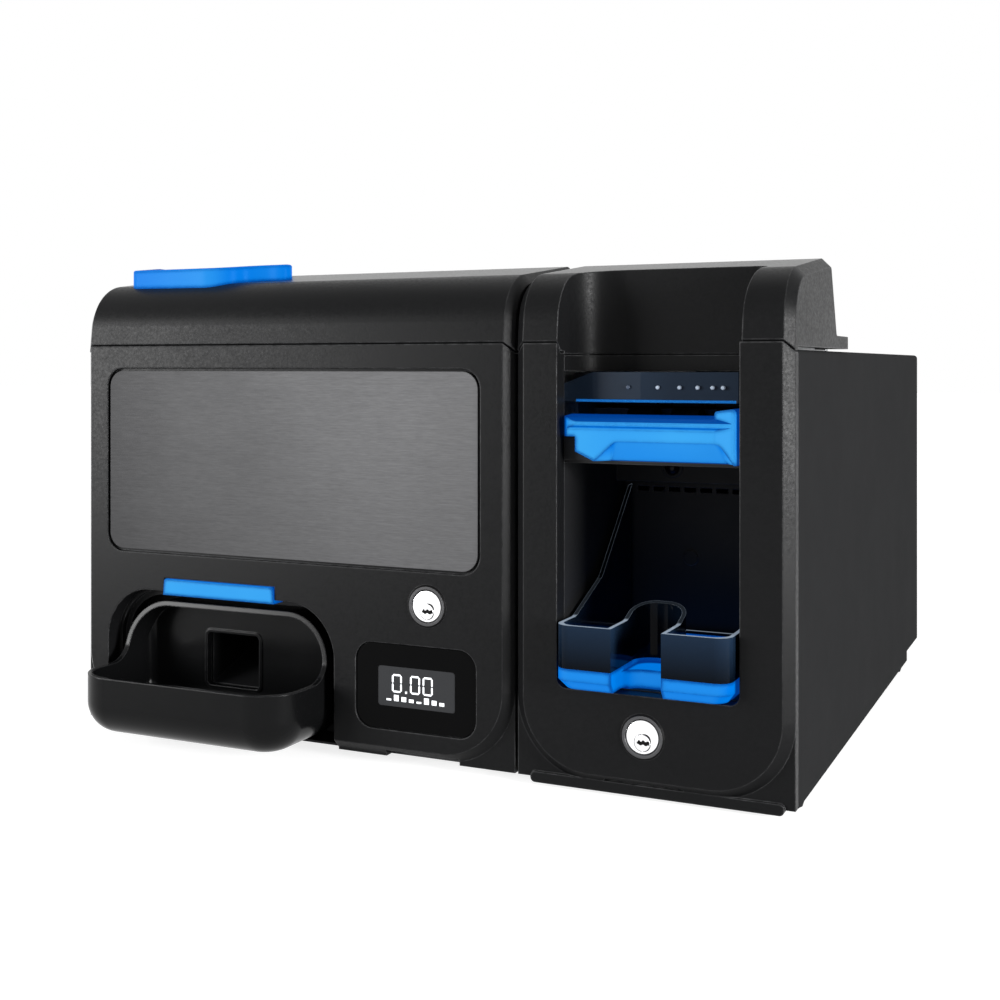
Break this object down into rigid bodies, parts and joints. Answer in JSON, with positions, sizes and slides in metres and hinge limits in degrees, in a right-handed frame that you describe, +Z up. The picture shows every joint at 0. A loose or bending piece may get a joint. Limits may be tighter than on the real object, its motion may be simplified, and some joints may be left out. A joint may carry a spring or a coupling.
{
  "type": "coin sorting machine",
  "caption": "Counter-top cash recycler with a coin module and a banknote module, blue-lit inlet and outlet pieces",
  "frame": {"origin": "middle of the footprint's bounding box, on the surface that the feet stand on", "axes": "+X to the right along the fronts, +Y from the fronts to the rear, +Z up"},
  "size_m": [0.5046, 0.55, 0.3267],
  "materials": {
    "case_paint": "fine-textured black powder coat on sheet steel",
    "front_plastic": "fine-textured black moulding",
    "cup_plastic": "satin black moulding",
    "liner_plastic": "dark moulded lining",
    "brushed_metal": "dark grey, brushed along X",
    "blue_light": "translucent blue, lit from inside",
    "smoked_guard": "smoked navy, clear",
    "bezel_plastic": "dark blue-grey, half gloss",
    "window_gloss": "piano black window",
    "screen_glass": "dark screen",
    "lens_clear": "clear indicator lenses",
    "lock_chrome": "bright plated lock",
    "rubber_black": "black rubber",
    "zinc_steel": "zinc-plated sheet and rails",
    "inner_plastic": "grey moulded inner pieces",
    "board_green": "circuit board",
    "motor_metal": "bare motor can"
  },
  "bodies": {
    "housing": {"coin_case_wrap": "case_paint", "coin_case_base": "case_paint", "coin_case_rear": "case_paint", "note_case_wrap": "case_paint", "note_case_base": "case_paint", "note_case_rear": "case_paint", "rubber_feet": "rubber_black", "module_link_plates": "zinc_steel", "outer_rails": "zinc_steel", "power_inlet": "cup_plastic", "data_sockets": "inner_plastic"},
    "power_switch": {"power_rocker": "cup_plastic"},
    "coin_drawer": {"coin_chassis": "zinc_steel", "coin_inner_rails": "zinc_steel", "coin_front_cover": "front_plastic", "brushed_panel": "brushed_metal", "display_window": "window_gloss", "display_screen": "screen_glass", "light_bar": "blue_light", "coin_niche": "liner_plastic", "coin_cup": "cup_plastic", "coin_lock_barrel": "lock_chrome", "payout_tray": "inner_plastic", "payout_belt": "rubber_black", "coin_hoppers": "inner_plastic", "sorting_track": "zinc_steel", "sorter_deck": "inner_plastic", "sorter_motor": "motor_metal", "control_board": "board_green", "coin_hood_pins": "zinc_steel"},
    "coin_slide_middle": {"coin_mid_rails": "zinc_steel"},
    "coin_lid": {"coin_hood": "front_plastic", "coin_inlet": "blue_light"},
    "coin_lock": {"coin_lock_plug": "lock_chrome"},
    "sorter": {"sorting_disc": "inner_plastic"},
    "sorter_drive": {"sorter_pinion": "inner_plastic"},
    "belt_drive": {"belt_drive_roller": "inner_plastic"},
    "belt_return": {"belt_idle_roller": "inner_plastic"},
    "note_drawer": {"note_chassis": "zinc_steel", "note_inner_rails": "zinc_steel", "note_front_cover": "front_plastic", "inlet_shroud": "front_plastic", "inlet_bezel": "bezel_plastic", "inlet_leds": "lens_clear", "mouth_light": "blue_light", "inlet_lip": "blue_light", "outlet_pocket": "liner_plastic", "outlet_tray": "blue_light", "outlet_guard": "smoked_guard", "note_lock_barrel": "lock_chrome", "note_validator": "inner_plastic", "note_cassette": "inner_plastic", "note_hood_pins": "zinc_steel"},
    "note_slide_middle": {"note_mid_rails": "zinc_steel"},
    "note_lid": {"note_hood": "front_plastic"},
    "note_lock": {"note_lock_plug": "lock_chrome"},
    "feed_upper": {"upper_feed_roller": "rubber_black"},
    "feed_lower": {"lower_feed_roller": "rubber_black"},
    "drum_front": {"front_storage_drum": "inner_plastic"},
    "drum_rear": {"rear_storage_drum": "inner_plastic"}
  },
  "joints": [
    {"name": "coin_drawer_slide", "type": "slide", "parent": "housing", "child": "coin_drawer", "axis": [0, -1, 0], "range_m": [0, 0.3]},
    {"name": "coin_rail_slide", "type": "slide", "parent": "housing", "child": "coin_slide_middle", "axis": [0, -1, 0], "range_m": [0, 0.15]},
    {"name": "note_drawer_slide", "type": "slide", "parent": "housing", "child": "note_drawer", "axis": [0, -1, 0], "range_m": [0, 0.3]},
    {"name": "note_rail_slide", "type": "slide", "parent": "housing", "child": "note_slide_middle", "axis": [0, -1, 0], "range_m": [0, 0.15]},
    {"name": "coin_lid_hinge", "type": "hinge", "parent": "coin_drawer", "child": "coin_lid", "pos_m": [-0.0837, -0.063, 0.2695], "axis": [-1, 0, 0], "range_deg": [0, 65]},
    {"name": "note_lid_hinge", "type": "hinge", "parent": "note_drawer", "child": "note_lid", "pos_m": [0.1673, -0.063, 0.2695], "axis": [-1, 0, 0], "range_deg": [0, 65]},
    {"name": "coin_lock_turn", "type": "hinge", "parent": "coin_drawer", "child": "coin_lock", "pos_m": [0.0225, -0.225, 0.1012], "axis": [0, 1, 0], "range_deg": [0, 90]},
    {"name": "note_lock_turn", "type": "hinge", "parent": "note_drawer", "child": "note_lock", "pos_m": [0.1643, -0.225, 0.0355], "axis": [0, 1, 0], "range_deg": [0, 90]},
    {"name": "sorter_turn", "type": "hinge", "parent": "coin_drawer", "child": "sorter", "pos_m": [-0.1627, -0.127, 0.231], "axis": [0, 0, 1], "continuous": true},
    {"name": "sorter_pinion_turn", "type": "hinge", "parent": "coin_drawer", "child": "sorter_drive", "pos_m": [-0.10105, -0.127, 0.227], "axis": [0, 0, 1], "continuous": true},
    {"name": "belt_drive_turn", "type": "hinge", "parent": "coin_drawer", "child": "belt_drive", "pos_m": [-0.0977, -0.138, 0.077], "axis": [0, 1, 0], "continuous": true},
    {"name": "belt_return_turn", "type": "hinge", "parent": "coin_drawer", "child": "belt_return", "pos_m": [0.0423, -0.138, 0.077], "axis": [0, 1, 0], "continuous": true},
    {"name": "feed_upper_turn", "type": "hinge", "parent": "note_drawer", "child": "feed_upper", "pos_m": [0.1673, -0.147, 0.2393], "axis": [1, 0, 0], "continuous": true},
    {"name": "feed_lower_turn", "type": "hinge", "parent": "note_drawer", "child": "feed_lower", "pos_m": [0.1673, -0.147, 0.2187], "axis": [1, 0, 0], "continuous": true},
    {"name": "front_drum_turn", "type": "hinge", "parent": "note_drawer", "child": "drum_front", "pos_m": [0.1673, -0.035, 0.135], "axis": [1, 0, 0], "continuous": true},
    {"name": "rear_drum_turn", "type": "hinge", "parent": "note_drawer", "child": "drum_rear", "pos_m": [0.1673, 0.06, 0.135], "axis": [1, 0, 0], "continuous": true},
    {"name": "power_switch_rock", "type": "hinge", "parent": "housing", "child": "power_switch", "pos_m": [0.0443, 0.266, 0.051], "axis": [1, 0, 0], "range_deg": [-6, 6]}
  ],
  "couplings": [
    {"joint": "coin_rail_slide", "follows": "coin_drawer_slide", "ratio": 0.5},
    {"joint": "note_rail_slide", "follows": "note_drawer_slide", "ratio": 0.5},
    {"joint": "sorter_pinion_turn", "follows": "sorter_turn", "ratio": -3},
    {"joint": "belt_return_turn", "follows": "belt_drive_turn", "ratio": 1},
    {"joint": "feed_lower_turn", "follows": "feed_upper_turn", "ratio": -1}
  ]
}
